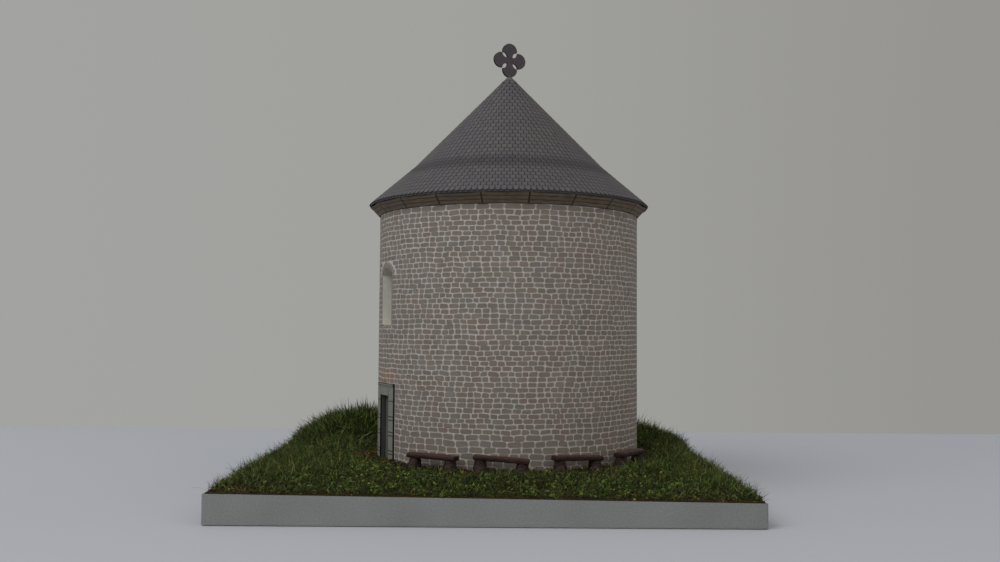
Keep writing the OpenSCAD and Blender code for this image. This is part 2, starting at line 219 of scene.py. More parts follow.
def slate_card():
    """Printed slate: dark grey with blue and purple-brown in it, near-black lines round each slate, painted shade
    along the roof's break.
    """
    material, tree, shader = start("slate_printed_card", 0.6, 0.35)
    spot = place(tree)
    tint, edge = attribute(tree, "tint"), attribute(tree, "edge")
    colour = ramp(tree, tint, [
        (0.0, "#504e51"), (0.25, "#5c595b"), (0.5, "#555458"), (0.75, "#605c5b"), (1.0, "#59565a")])
    mottle = grain(tree, spot, 0.8 * MM, 3)
    colour = blend(tree, sums(tree, "MULTIPLY_ADD", mottle, 0.8, -0.25), colour, "#6c6664")
    # Painted shade: the slates darken in a soft band just under the break between skirt and cone, along the crease.
    height = add(tree, "ShaderNodeSeparateXYZ", {0: spot}).outputs["Z"]
    off_break = sums(tree, "ABSOLUTE", sums(tree, "SUBTRACT", height, BREAK_Z - 2.6 * MM))
    band = add(tree, "ShaderNodeMapRange", {"Value": off_break, "From Min": 0.6 * MM, "From Max": 4.4 * MM,
                                            "To Min": 0.5, "To Max": 0.0},
               interpolation_type="SMOOTHSTEP").outputs[0]
    colour = blend(tree, band, colour, "#2b2a2d")
    outline = sums(tree, "MULTIPLY", edge, 0.85)
    colour = blend(tree, outline, colour, "#1e1d20")
    finish_with(tree, shader, colour, mottle, 0.02 * MM)
    return material


def roof_card():
    """The dark card that the slates are printed on: near black, seen between them and at the eaves."""
    material, tree, shader = start("dark_roof_card", 0.75, 0.25)
    fibre = grain(tree, place(tree), 0.6 * MM)
    finish_with(tree, shader, ramp(tree, fibre, [(0.3, "#413f42"), (0.7, "#4d4b4e")]), fibre, 0.02 * MM)
    return material


def plain_card(name, dark, pale, size=0.5 * MM, roughness=0.85):
    """Plain dyed card: matt, with short fibres that show as a fine mottle."""
    material, tree, shader = start(name, roughness, 0.2)
    spot = place(tree)
    fibre = grain(tree, spot, size, 5)
    broad = grain(tree, spot, 24 * MM, 2)
    mix = sums(tree, "MULTIPLY_ADD", fibre, 0.7, sums(tree, "MULTIPLY", broad, 0.3))
    finish_with(tree, shader, ramp(tree, mix, [(0.3, dark), (0.7, pale)]), fibre, 0.03 * MM)
    return material


def cornice_card():
    """Printed oak boards under the eaves: brown grain along each piece, dark lines at every joint."""
    material, tree, shader = start("oak_board_printed_card", 0.75, 0.25)
    spot = add(tree, "ShaderNodeMapping", {"Vector": place(tree), "Location": (-TOWER_X, 0, 0)}).outputs[0]
    axes = add(tree, "ShaderNodeSeparateXYZ", {0: spot}).outputs
    bearing = sums(tree, "ARCTAN2", axes["X"], sums(tree, "MULTIPLY", axes["Y"], -1.0))
    steps = sums(tree, "MULTIPLY_ADD", bearing, 20 / TURN, 0.5 - CORNICE_TURN * 20 / TURN)
    across = sums(tree, "FRACT", steps)
    joint = sums(tree, "MINIMUM", across, sums(tree, "SUBTRACT", 1.0, across))
    joint_line = sums(tree, "LESS_THAN", joint, 0.02)
    rise = sums(tree, "DIVIDE", sums(tree, "SUBTRACT", axes["Z"], WALL_TOP), EAVES_Z - ROOF_T - WALL_TOP)
    board = sums(tree, "FRACT", sums(tree, "MULTIPLY", rise, 3.0))
    board_line = sums(tree, "LESS_THAN", board, 0.17)
    along = add(tree, "ShaderNodeCombineXYZ", {"X": sums(tree, "MULTIPLY", bearing, EAVES_R),
                                               "Y": sums(tree, "FLOOR", steps), "Z": axes["Z"]}).outputs[0]
    streak = grain(tree, along, 0.5 * MM, 4, (9, 1000, 1))
    tone = add(tree, "ShaderNodeTexWhiteNoise", {"Vector": add(
        tree, "ShaderNodeCombineXYZ", {"X": sums(tree, "FLOOR", steps),
                                       "Y": sums(tree, "FLOOR", sums(tree, "MULTIPLY", rise, 3.0))}
    ).outputs[0]}, noise_dimensions="3D").outputs["Value"]
    colour = ramp(tree, streak, [(0.3, "#5a4e41"), (0.55, "#716554"), (0.75, "#83755f")])
    colour = blend(tree, sums(tree, "MULTIPLY", tone, 0.3), colour, "#453b31")
    colour = blend(tree, sums(tree, "MULTIPLY", sums(tree, "MAXIMUM", board_line, joint_line), 0.8),
                   colour, "#1d1815")
    finish_with(tree, shader, colour, streak, 0.04 * MM)
    return material


def bay_place(tree):
    """Object coordinates turned so that X runs out of the bay, Y across it and Z up."""
    moved = add(tree, "ShaderNodeMapping", {"Vector": place(tree), "Location": (-TOWER_X, 0, 0)}).outputs[0]
    return add(tree, "ShaderNodeMapping", {"Vector": moved, "Rotation": (0, 0, math.pi / 2 - BAY)}).outputs[0]


def facing_out(tree):
    """How squarely a face looks out of the bay, from 0 to 1."""
    normal = add(tree, "ShaderNodeNewGeometry").outputs["True Normal"]
    out = (math.sin(BAY), -math.cos(BAY), 0)
    return add(tree, "ShaderNodeVectorMath", {0: normal, 1: out}, operation="DOT_PRODUCT").outputs["Value"]


def surround_card():
    """Printed cut stone on card round the door: grey-green face, ruled joints, black cut edges."""
    material, tree, shader = start("cut_stone_printed_card", 0.82, 0.22)
    spot = bay_place(tree)
    axes = add(tree, "ShaderNodeSeparateXYZ", {0: spot}).outputs
    mottle = grain(tree, spot, 0.7 * MM, 4)
    colour = ramp(tree, mottle, [(0.3, "#73746b"), (0.7, "#8a8a80")])
    height = sums(tree, "SUBTRACT", axes["Z"], GROUND_Z)
    lines = None
    for joint_z in (3.2, 4.6, 10.9, 12.4, 17.4, 18.9, 25.4):    # pairs of ruled joints up each jamb, mm
        off = sums(tree, "ABSOLUTE", sums(tree, "SUBTRACT", height, joint_z * MM))
        line = sums(tree, "LESS_THAN", off, 0.2 * MM)
        lines = line if lines is None else sums(tree, "MAXIMUM", lines, line)
    on_jamb = sums(tree, "LESS_THAN", axes["Z"], DOOR_TOP)
    on_cap = sums(tree, "GREATER_THAN", axes["Z"], LINTEL_TOP - 1.5 * MM)
    cap_line = sums(tree, "LESS_THAN", sums(tree, "PINGPONG", sums(
        tree, "SUBTRACT", axes["Z"], LINTEL_TOP - 1.5 * MM), 0.35 * MM), 0.12 * MM)
    lines = sums(tree, "MAXIMUM", sums(tree, "MULTIPLY", lines, on_jamb),
                 sums(tree, "MULTIPLY", cap_line, on_cap))
    aside = sums(tree, "ABSOLUTE", axes["Y"])
    on_lintel = sums(tree, "MULTIPLY", sums(tree, "SUBTRACT", 1.0, on_jamb), sums(tree, "SUBTRACT", 1.0, on_cap))
    ends = sums(tree, "LESS_THAN", sums(tree, "ABSOLUTE", sums(tree, "SUBTRACT", aside, 5.6 * MM)), 0.12 * MM)
    lines = sums(tree, "MAXIMUM", lines, sums(tree, "MULTIPLY", ends, on_lintel))
    outer = sums(tree, "GREATER_THAN", aside, SURROUND_HALF - 0.4 * MM)
    cut = sums(tree, "LESS_THAN", facing_out(tree), 0.6)
    dark = sums(tree, "MAXIMUM", sums(tree, "MULTIPLY", lines, 0.92), sums(tree, "MAXIMUM", outer, cut))
    finish_with(tree, shader, blend(tree, dark, colour, "#1c1b1a"), mottle, 0.03 * MM)
    return material


def doorway_card():
    """Printed planks and shaded stone inside the doorway: dark grey-green with upright streaks."""
    material, tree, shader = start("plank_printed_card", 0.8, 0.2)
    spot = bay_place(tree)
    streak = grain(tree, spot, 0.5 * MM, 4, (1, 1, 30))
    finish_with(tree, shader, ramp(tree, streak, [(0.3, "#3b3d3a"), (0.55, "#535551"), (0.75, "#6b6d67")]),
                streak, 0.03 * MM)
    return material


def door_card():
    """The door itself: printed boards, almost black, with a line between each."""
    material, tree, shader = start("dark_door_printed_card", 0.75, 0.2)
    spot = bay_place(tree)
    axes = add(tree, "ShaderNodeSeparateXYZ", {0: spot}).outputs
    board = sums(tree, "FRACT", sums(tree, "DIVIDE", axes["Y"], 1.75 * MM))
    streak = grain(tree, spot, 0.4 * MM, 4, (1, 1, 24))
    colour = ramp(tree, streak, [(0.3, "#4a4b48"), (0.7, "#73746e")])
    colour = blend(tree, sums(tree, "LESS_THAN", board, 0.12), colour, "#100e0e")
    finish_with(tree, shader, colour, streak, 0.04 * MM)
    return material


def window_card():
    """Plain light render printed inside the window, with painted shade in brown under the arch and towards its top,
    and a black cut edge.
    """
    material, tree, shader = start("light_render_printed_card", 0.85, 0.2)
    spot = bay_place(tree)
    axes = add(tree, "ShaderNodeSeparateXYZ", {0: spot}).outputs
    mottle = grain(tree, spot, 1.6 * MM, 3)
    colour = ramp(tree, mottle, [(0.3, "#e4dfd2"), (0.7, "#f0ebde")])
    # Painted shade: faces that look down, and the lining towards the arch top, are blended towards a dark brown.
    down = add(tree, "ShaderNodeSeparateXYZ", {
        0: add(tree, "ShaderNodeNewGeometry").outputs["True Normal"]}).outputs["Z"]
    soffit_shade = sums(tree, "LESS_THAN", down, -0.3)
    arch_shade = rising(tree, axes["Z"], WINDOW_SPRING - 1 * MM, WINDOW_TOP, 0.35)
    colour = blend(tree, sums(tree, "MAXIMUM", sums(tree, "MULTIPLY", soffit_shade, 0.3), arch_shade), colour, "#8c7763")
    front = sums(tree, "GREATER_THAN", facing_out(tree), 0.5)
    colour = blend(tree, front, colour, "#8b857c")
    cut = sums(tree, "MULTIPLY", front, sums(tree, "LESS_THAN", axes["Y"], -WINDOW_W / 3))
    finish_with(tree, shader, blend(tree, cut, colour, "#1a1816"), mottle, 0.03 * MM)
    return material


def pane_card():
    """Dark printed glass at the back of the window, with leading in small squares."""
    material, tree, shader = start("leaded_glass_printed_card", 0.5, 0.4)
    spot = bay_place(tree)
    axes = add(tree, "ShaderNodeSeparateXYZ", {0: spot}).outputs
    bars = sums(tree, "MINIMUM", sums(tree, "PINGPONG", axes["Y"], 1.5 * MM),
                sums(tree, "PINGPONG", axes["Z"], 1.5 * MM))
    mottle = grain(tree, spot, 2 * MM, 2)
    colour = ramp(tree, mottle, [(0.3, "#2d2c2b"), (0.7, "#413e3a")])
    finish_with(tree, shader, blend(tree, sums(tree, "LESS_THAN", bars, 0.16 * MM), colour, "#141211"))
    return material


def cross_card():
    """Dark purple-grey card, its cut edges blackened."""
    material, tree, shader = start("dark_cross_card", 0.8, 0.2)
    mottle = grain(tree, place(tree), 1.1 * MM, 3)
    colour = ramp(tree, mottle, [(0.3, "#4a4549"), (0.7, "#585255")])
    normal = add(tree, "ShaderNodeNewGeometry").outputs["True Normal"]
    square = add(tree, "ShaderNodeVectorMath", {0: normal, 1: (math.sin(CROSS_TURN), -math.cos(CROSS_TURN), 0)},
                 operation="DOT_PRODUCT").outputs["Value"]
    cut = sums(tree, "LESS_THAN", sums(tree, "ABSOLUTE", square), 0.7)
    finish_with(tree, shader, blend(tree, cut, colour, "#171516"), mottle, 0.02 * MM)
    return material


def earth_filler():
    """Dark brown earth made of filler and fine litter: matt and gritty."""
    material, tree, shader = start("earth_filler", 0.95, 0.1)
    spot = place(tree)
    grit = grain(tree, spot, 0.7 * MM, 5)
    broad = grain(tree, spot, 9 * MM, 3)
    colour = ramp(tree, grit, [(0.3, "#211a11"), (0.5, "#3d2c1b"), (0.7, "#5a452c")])
    green = add(tree, "ShaderNodeMapRange", {"Value": broad, "From Min": 0.45, "From Max": 0.6,
                                             "To Max": 0.5}).outputs[0]
    finish_with(tree, shader, blend(tree, green, colour, "#2f3a16"), grit, 0.5 * MM, 0.8)
    return material


def fibre(name, stops, root="#0e1308", withered="#34391a"):
    """Nylon static-grass fibre: satin, each fibre its own green, with painted shade darkening it towards the root,
    withered in patches.
    """
    material, tree, shader = start(name, 0.6, 0.25)
    colour = ramp(tree, attribute(tree, "tint"), stops)
    matted = rising(tree, grain(tree, place(tree), 6 * MM, 3), 0.48, 0.64, 0.6)
    colour = blend(tree, matted, colour, withered)
    # Painted shade: each fibre is blended towards the root colour low down, where the turf shades it.
    depth = sums(tree, "POWER", sums(tree, "SUBTRACT", 1.0, attribute(tree, "along")), 1.5)
    finish_with(tree, shader, blend(tree, sums(tree, "MULTIPLY", depth, 0.75), colour, root))
    return material


def litter():
    """Crumbs of dried leaf and bark: matt browns with a few yellow-greens."""
    material, tree, shader = start("dried_leaf_litter", 0.9, 0.15)
    finish_with(tree, shader, ramp(tree, attribute(tree, "tint"), [
        (0.0, "#20160e"), (0.35, "#35261a"), (0.6, "#4d3924"), (0.8, "#3f4219"), (1.0, "#6c6e30")]))
    return material


def stained_wood(name, dark, mid, pale, top_highlight=0.0):
    """Stained twig wood: grain along the piece, with a painted highlight making the faces that look up paler."""
    material, tree, shader = start(name, 0.6, 0.3)
    spot = place(tree)
    rings = grain(tree, spot, 0.6 * MM, 5, (3, 3, 0.8))
    colour = ramp(tree, rings, [(0.3, dark), (0.55, mid), (0.8, pale)])
    # Painted highlight: faces that look up are blended towards a paler brown, as if lit from above.
    up = add(tree, "ShaderNodeSeparateXYZ", {
        0: add(tree, "ShaderNodeNewGeometry").outputs["True Normal"]}).outputs["Z"]
    worn = add(tree, "ShaderNodeMapRange", {"Value": up, "From Min": 0.5, "From Max": 0.95,
                                            "To Max": top_highlight}).outputs[0]
    finish_with(tree, shader, blend(tree, worn, colour, "#7a5446"), rings, 0.25 * MM, 0.7)
    return material


MORTAR, STONE, SLATE, ROOF = mortar_card(), stone_card(), slate_card(), roof_card()
CORNICE, SURROUND, DOORWAY, DOOR = cornice_card(), surround_card(), doorway_card(), door_card()
RENDER, PANE, CROSS, EARTH = window_card(), pane_card(), cross_card(), earth_filler()
EDGING = plain_card("grey_edging_card", "#757876", "#959896")
FOAM = plain_card("foam_board_paper", "#c9c6bd", "#d8d5cc", 0.9 * MM)
CAP = plain_card("plain_grey_cap_card", "#5a595a", "#686768")
GRASS = fibre("static_grass_fibre", [
    (0.0, "#141f09"), (0.35, "#23350e"), (0.6, "#344c15"), (0.8, "#4c6c22"), (0.93, "#86a046"),
    (1.0, "#b4c070")])
STRAW = fibre("straw_fibre", [(0.0, "#4f3a1e"), (0.4, "#77682f"), (0.75, "#9a9c4c"), (1.0, "#b7b878")],
              "#2a2010")
LITTER = litter()
SEAT = stained_wood("stained_split_log", "#190c0a", "#2d1712", "#4a271e", 0.28)
STUMP = stained_wood("dark_twig_bark", "#140c0a", "#2e1f19", "#574133", 0.1)

NODE_MATERIALS = {
    "base_board": FOAM, "edging": EDGING, "ground": EARTH, "wall": MORTAR, "door_leaf": DOOR,
    "door_lining": DOORWAY, "door_sill": EARTH, "door_jamb": SURROUND, "door_lintel": SURROUND,
    "window_lining": RENDER, "window_pane": PANE, "cornice": CORNICE, "roof_skirt": ROOF,
    "roof_cone": ROOF, "roof_cap": CAP, "cross": CROSS, "bench": SEAT}


def finish_nodes():
    """Gives every CAD node its material."""
    for name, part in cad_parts.items():
        chosen = next(m for start_of, m in NODE_MATERIALS.items() if name.startswith(start_of))
        part.data.materials.clear()
        part.data.materials.append(chosen)


# ---------- pieces ----------

def mesh_from(name, points, faces, **values):
    """A mesh, with each named list of numbers or vectors kept on its points."""
    mesh = bpy.data.meshes.new(name)
    mesh.from_pydata([tuple(p) for p in points], [], faces)
    for key, data in values.items():
        vector = isinstance(data[0], (tuple, list, Vector))
        layer = mesh.attributes.new(key, "FLOAT_VECTOR" if vector else "FLOAT", "POINT")
        flat = [x for v in data for x in v] if vector else list(data)
        layer.data.foreach_set("vector" if vector else "value", flat)
    return mesh


def put(name, mesh, slot, *replaced):
    """Adds a piece to the scene and rides it on the model."""
    piece = bpy.data.objects.new(name, mesh)
    bpy.context.collection.objects.link(piece)
    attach(piece, "root")
    if replaced:
        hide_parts(*replaced)
    return piece


def grow(name, seed_mesh, tree, inputs):
    """Runs a node tree on a mesh and returns the plain mesh that comes out."""
    seed = bpy.data.objects.new(name + "_seed", seed_mesh)
    bpy.context.collection.objects.link(seed)
    modifier = seed.modifiers.new("grow", "NODES")
    modifier.node_group = tree
    for item in tree.interface.items_tree:
        if item.in_out == "INPUT" and item.name in inputs:
            modifier[item.identifier] = inputs[item.name]
    bpy.context.view_layer.update()
    graph = bpy.context.evaluated_depsgraph_get()
    mesh = bpy.data.meshes.new_from_object(seed.evaluated_get(graph))
    mesh.name = name
    seed.modifiers.remove(modifier)
    bpy.data.objects.remove(seed)
    return mesh


def plate(name, outline, inset, slope):
    """A thin plate one unit high: a top with a rim, and sides. "edge" is 1 at the rim, 0 inside it."""
    count = len(outline)
    centre = Vector((sum(p[0] for p in outline) / count, sum(p[1] for p in outline) / count))

    def ring(shrink, height):
        return [(centre.x + (x - centre.x) * (1 - shrink), centre.y + (y - centre.y) * (1 - shrink), height)
                for x, y in outline]
    points = ring(0, 0) + ring(slope, 1) + ring(inset, 1)
    faces = []
    for step in (0, count):
        faces += [(step + i, step + (i + 1) % count, step + count + (i + 1) % count, step + count + i)
                  for i in range(count)]
    faces.append(tuple(range(2 * count, 3 * count)))
    mesh = mesh_from(name, points, faces, edge=[1.0] * (2 * count) + [0.0] * count)
    shape = bpy.data.objects.new(name, mesh)
    bpy.context.collection.objects.link(shape)
    return shape


def group(name, **inputs):
    """A new geometry tree with a Geometry socket and the named inputs, each (socket type, default)."""
    tree = bpy.data.node_groups.new(name, "GeometryNodeTree")
    tree.interface.new_socket("Geometry", in_out="INPUT", socket_type="NodeSocketGeometry")
    for key, (kind, default) in inputs.items():
        socket = tree.interface.new_socket(key.replace("_", " "), in_out="INPUT", socket_type=kind)
        if default is not None:
            socket.default_value = default
    tree.interface.new_socket("Geometry", in_out="OUTPUT", socket_type="NodeSocketGeometry")
    return tree, tree.nodes.new("NodeGroupInput").outputs


def give(tree, geometry, finish):
    """Ends a tree: realises the instances, sets the material and passes the result out."""
    solid = add(tree, "GeometryNodeRealizeInstances", {"Geometry": geometry}).outputs[0]
    done = add(tree, "GeometryNodeSetMaterial", {"Geometry": solid, "Material": finish}).outputs[0]
    add(tree, "NodeGroupOutput", {"Geometry": done})
    return tree


def kept(tree, name, kind):
    return add(tree, "GeometryNodeInputNamedAttribute", {"Name": name}, data_type=kind).outputs["Attribute"]


def stones_tree():
    """Sets plates on a flat layout of courses, makes them uneven, then rolls the sheet round the wall."""
    tree, given = group("rolled_courses", Plate=("NodeSocketObject", None), Finish=("NodeSocketMaterial", None),
                        Wall_radius=("NodeSocketFloat", WALL_R), Tower_x=("NodeSocketFloat", TOWER_X),
                        Wave=("NodeSocketFloat", 1.2 * MM), Chip=("NodeSocketFloat", 0.9 * MM))
    shape = add(tree, "GeometryNodeObjectInfo", {"Object": given["Plate"]}).outputs["Geometry"]
    turn = add(tree, "ShaderNodeCombineXYZ", {"Z": kept(tree, "turn", "FLOAT")}).outputs[0]
    laid = add(tree, "GeometryNodeInstanceOnPoints", {
        "Points": given["Geometry"], "Instance": shape, "Rotation": turn,
        "Scale": kept(tree, "size", "FLOAT_VECTOR")}).outputs[0]
    sheet = add(tree, "GeometryNodeRealizeInstances", {"Geometry": laid}).outputs[0]
    at = add(tree, "GeometryNodeInputPosition").outputs[0]
    for amount, size in ((given["Wave"], 7 * MM), (given["Chip"], 1.7 * MM)):
        rough = add(tree, "ShaderNodeTexNoise", {"Vector": add(
            tree, "GeometryNodeInputPosition").outputs[0], "Scale": 1 / size, "Detail": 1.0}).outputs["Color"]
        rough = add(tree, "ShaderNodeVectorMath", {0: rough, 1: (0.5, 0.5, 0.5)}, operation="SUBTRACT")
        push = add(tree, "ShaderNodeCombineXYZ", {"X": amount, "Y": amount}).outputs[0]
        push = add(tree, "ShaderNodeVectorMath", {0: rough.outputs[0], 1: push}, operation="MULTIPLY")
        at = add(tree, "ShaderNodeVectorMath", {0: at, 1: push.outputs[0]}, operation="ADD").outputs[0]
    flat = add(tree, "ShaderNodeSeparateXYZ", {0: at}).outputs
    bearing = sums(tree, "DIVIDE", flat["X"], given["Wall radius"])
    radius = sums(tree, "ADD", given["Wall radius"], flat["Z"])
    rolled = add(tree, "ShaderNodeCombineXYZ", {
        "X": sums(tree, "MULTIPLY_ADD", radius, sums(tree, "SINE", bearing), given["Tower x"]),
        "Y": sums(tree, "MULTIPLY", radius, sums(tree, "MULTIPLY", sums(tree, "COSINE", bearing), -1.0)),
        "Z": flat["Y"]}).outputs[0]
    wall = add(tree, "GeometryNodeSetPosition", {"Geometry": sheet, "Position": rolled}).outputs[0]
    return give(tree, wall, given["Finish"])


def free_run(low_z, high_z, begin):
    """The stretch of a course that no opening takes, as distances round the wall from the near side.
    A whole ring starts at the place given."""
    gap = 0.35 * MM
    half = 0.0
    if low_z < LINTEL_TOP + 0.2 * MM:
        half = SURROUND_HALF + gap
    elif high_z > WINDOW_SILL - 0.2 * MM and low_z < WINDOW_TOP + VOUSSOIR_H:
        half = WINDOW_W / 2 + gap
        if high_z > WINDOW_SPRING:
            reach = ARCH_R + VOUSSOIR_H + gap
            near = max(low_z, ARCH_Z)
            rim = reach ** 2 - (near - ARCH_Z) ** 2
            half = max(half, math.sqrt(rim)) if rim > 0 else 0.0
            if near > WINDOW_TOP + VOUSSOIR_H:
                half = 0.0
    if not half:
        return begin, begin + TURN * WALL_R
    centre = BAY * WALL_R
    return centre + half, centre - half + TURN * WALL_R


JOINT = 0.35 * MM
VOUSSOIR_H = 2.8 * MM
BASE_COURSES, BASE_COURSE_H = 6, 2.5 * MM
TOP_COURSE_H = 2.4 * MM
COURSES = 50


def lay_stones():
    """Every stone on the wall, as a point on the flat sheet with its size, turn and tints."""
    rng = random.Random(7)
    foot = GROUND_Z - 0.8 * MM
    middle_h = (WALL_TOP - TOP_COURSE_H - foot - BASE_COURSES * BASE_COURSE_H) / (COURSES - BASE_COURSES - 1)
    points, size, turn, tint, warm = [], [], [], [], []

    def stone(u, z, w, h, a=0.0, warmth=0.0):
        points.append((u, z, 0))
        size.append((w, h, 0.09 * MM + w ** 2 / 8 / WALL_R))    # thick enough to clear the curve of the wall
        turn.append(a)
        tint.append(rng.random())
        warm.append(warmth)
    z = foot
    for course in range(COURSES):
        if course < BASE_COURSES:
            height, lengths = BASE_COURSE_H, (3.4, 6.4)
        elif course == COURSES - 1:
            height, lengths = TOP_COURSE_H, (5.5, 7.5)
        else:
            height, lengths = middle_h, (2.5, 5.1)
        begin, end = free_run(z, z + height, rng.uniform(0, TURN) * WALL_R)
        cuts = [begin]
        while end - cuts[-1] > lengths[1] * 1.5 * MM:
            cuts.append(cuts[-1] + rng.uniform(*lengths) * MM)
        left = end - cuts[-1]
        if left > lengths[1] * MM:
            cuts.append(cuts[-1] + left * rng.uniform(0.45, 0.55))
        cuts.append(end)
        for a, b in zip(cuts, cuts[1:]):
            u = math.remainder((a + b) / 2, TURN * WALL_R)
            off_door = abs(u - BAY * WALL_R)
            near_door = off_door < 8 * MM and LINTEL_TOP < z < LINTEL_TOP + 4.5 * MM
            stone(u, z + height / 2 + rng.uniform(-0.06, 0.06) * MM, b - a - JOINT * rng.uniform(0.8, 1.2),
                  height - JOINT * rng.uniform(0.75, 1.05), rng.uniform(-0.02, 0.02),
                  rng.uniform(0.5, 0.9) if near_door else 0.0)
        under_sill = WINDOW_SILL - 0.5 * MM - z
        if 0.7 * MM < under_sill < height:
            for i in range(4):
                stone(BAY * WALL_R + (i - 1.5) * WINDOW_W / 4, z + under_sill / 2, WINDOW_W / 4 - JOINT,
                      under_sill - 0.8 * JOINT)
        z += height
    count = 11
    spread = math.asin(WINDOW_W / 2 / ARCH_R) + 0.12
    for i in range(count):
        a = spread * (2 * (i + 0.5) / count - 1)
        out = ARCH_R + VOUSSOIR_H / 2 + 0.1 * MM
        stone(BAY * WALL_R + out * math.sin(a), ARCH_Z + out * math.cos(a),
              2 * spread * out / count - 0.4 * MM, VOUSSOIR_H - 0.3 * MM, -a)
    return mesh_from("stone_layout", points, [], size=size, turn=turn, tint=tint, warm=warm)


def build_stones():
    corner = [(0.5, 0.24), (0.4, 0.5)]
    outline = corner + [(-x, y) for x, y in reversed(corner)]
    outline += [(-x, -y) for x, y in corner] + [(x, -y) for x, y in reversed(corner)]
    shape = plate("stone_shape", outline, 0.1, 0.03)
    mesh = grow("field_stones", lay_stones(), stones_tree(), {"Plate": shape, "Finish": STONE})
    bpy.data.objects.remove(shape)
    put("field_stones", mesh, "stone_card")


def laying_tree():
    """Lays a shape on points, each with its own turn and size."""
    tree, given = group("laid_pieces", Plate=("NodeSocketObject", None), Finish=("NodeSocketMaterial", None))
    shape = add(tree, "GeometryNodeObjectInfo", {"Object": given["Plate"]}).outputs["Geometry"]
    laid = add(tree, "GeometryNodeInstanceOnPoints", {
        "Points": given["Geometry"], "Instance": shape, "Rotation": kept(tree, "turn", "FLOAT_VECTOR"),
        "Scale": kept(tree, "size", "FLOAT_VECTOR")}).outputs[0]
    return give(tree, laid, given["Finish"])


SLATE_W, SLATE_ROW = 2.35 * MM, 2.65 * MM
SLATE_LIFT = 2.5                        # degrees that a slate's lower end stands off the roof


def lay_slates(foot_r, foot_z, head_r, head_z, seed):
    """Rows of slates up one cone, closer to each other's size than to a whole number of turns."""
    rng = random.Random(seed)
    run, rise = foot_r - head_r, head_z - foot_z
    length, slope = math.hypot(run, rise), math.atan2(rise, run)
    rows = round(length / SLATE_ROW)
    points, size, turn, tint = [], [], [], []
    for row in range(rows):
        along = (row + 1) / rows
        radius = foot_r - run * along
        if radius < 1.2 * MM:
            continue
        z = foot_z + rise * along
        mid_r = foot_r - run * (row + 0.5) / rows
        count = max(7, round(TURN * mid_r / SLATE_W))
        for i in range(count):
            bearing = TURN * (i + 0.5 * (row % 2)) / count
            off = 0.16 * MM
            points.append((TOWER_X + (radius + off * math.sin(slope)) * math.sin(bearing),
                           -(radius + off * math.sin(slope)) * math.cos(bearing), z + off * math.cos(slope)))
            turn.append((slope + math.radians(SLATE_LIFT), 0, bearing))
            size.append((TURN * mid_r / count * 0.97, length / rows * 1.28, 0.1 * MM))
            tint.append(min(1, max(0, rng.gauss(0.5, 0.2))))
    return mesh_from("slate_layout", points, [], size=size, turn=turn, tint=tint)


def build_slates():
    side = [(0.5, 0.0), (0.5, -0.62), (0.34, -0.9), (0.13, -1.0)]
    outline = [(-x, y) for x, y in side] + side[::-1]
    shape = plate("slate_shape", outline, 0.25, 0.0)
    tree = laying_tree()
    for name, place_of in (
            ("skirt_slates", (EAVES_R, EAVES_Z, BREAK_R, BREAK_Z, 3)),
            ("cone_slates", (BREAK_R, BREAK_Z, TIP_R, TIP_Z, 4))):
        put(name, grow(name, lay_slates(*place_of), tree, {"Plate": shape, "Finish": SLATE}), "slate_card")
    bpy.data.objects.remove(shape)


# ---------- turf ----------

RING_W = 8.5 * MM                         # bare strip of earth round the foot of the wall

def blade(name, bend, width):
    """A flat tapering fibre one unit tall that leans over; "along" runs from root to tip."""
    points, along = [], []
    for t, w in ((0, 1), (0.55, 0.8)):
        points += [(-w * width / 2, bend * t * t, t), (w * width / 2, bend * t * t, t)]
        along += [t, t]
    points.append((0, bend, 1 - 0.15 * bend))
    mesh = mesh_from(name, points, [(0, 1, 3, 2), (2, 3, 4)], along=along + [1.0])
    shape = bpy.data.objects.new(name, mesh)
    bpy.context.collection.objects.link(shape)
    return shape


def crumb(name):
    """A small uneven crumb."""
    rng = random.Random(5)
    points = [(x * rng.uniform(0.7, 1.2), y * rng.uniform(0.7, 1.2), z * rng.uniform(0.7, 1.2))
              for x, y, z in ((1, 0, 0), (0, 1, 0), (-1, 0, 0), (0, -1, 0), (0, 0, 0.7), (0, 0, -0.5))]
    faces = [(0, 1, 4), (1, 2, 4), (2, 3, 4), (3, 0, 4), (1, 0, 5), (2, 1, 5), (3, 2, 5), (0, 3, 5)]
    shape = bpy.data.objects.new(name, mesh_from(name, points, faces, along=[1.0] * len(points)))
    bpy.context.collection.objects.link(shape)
    return shape


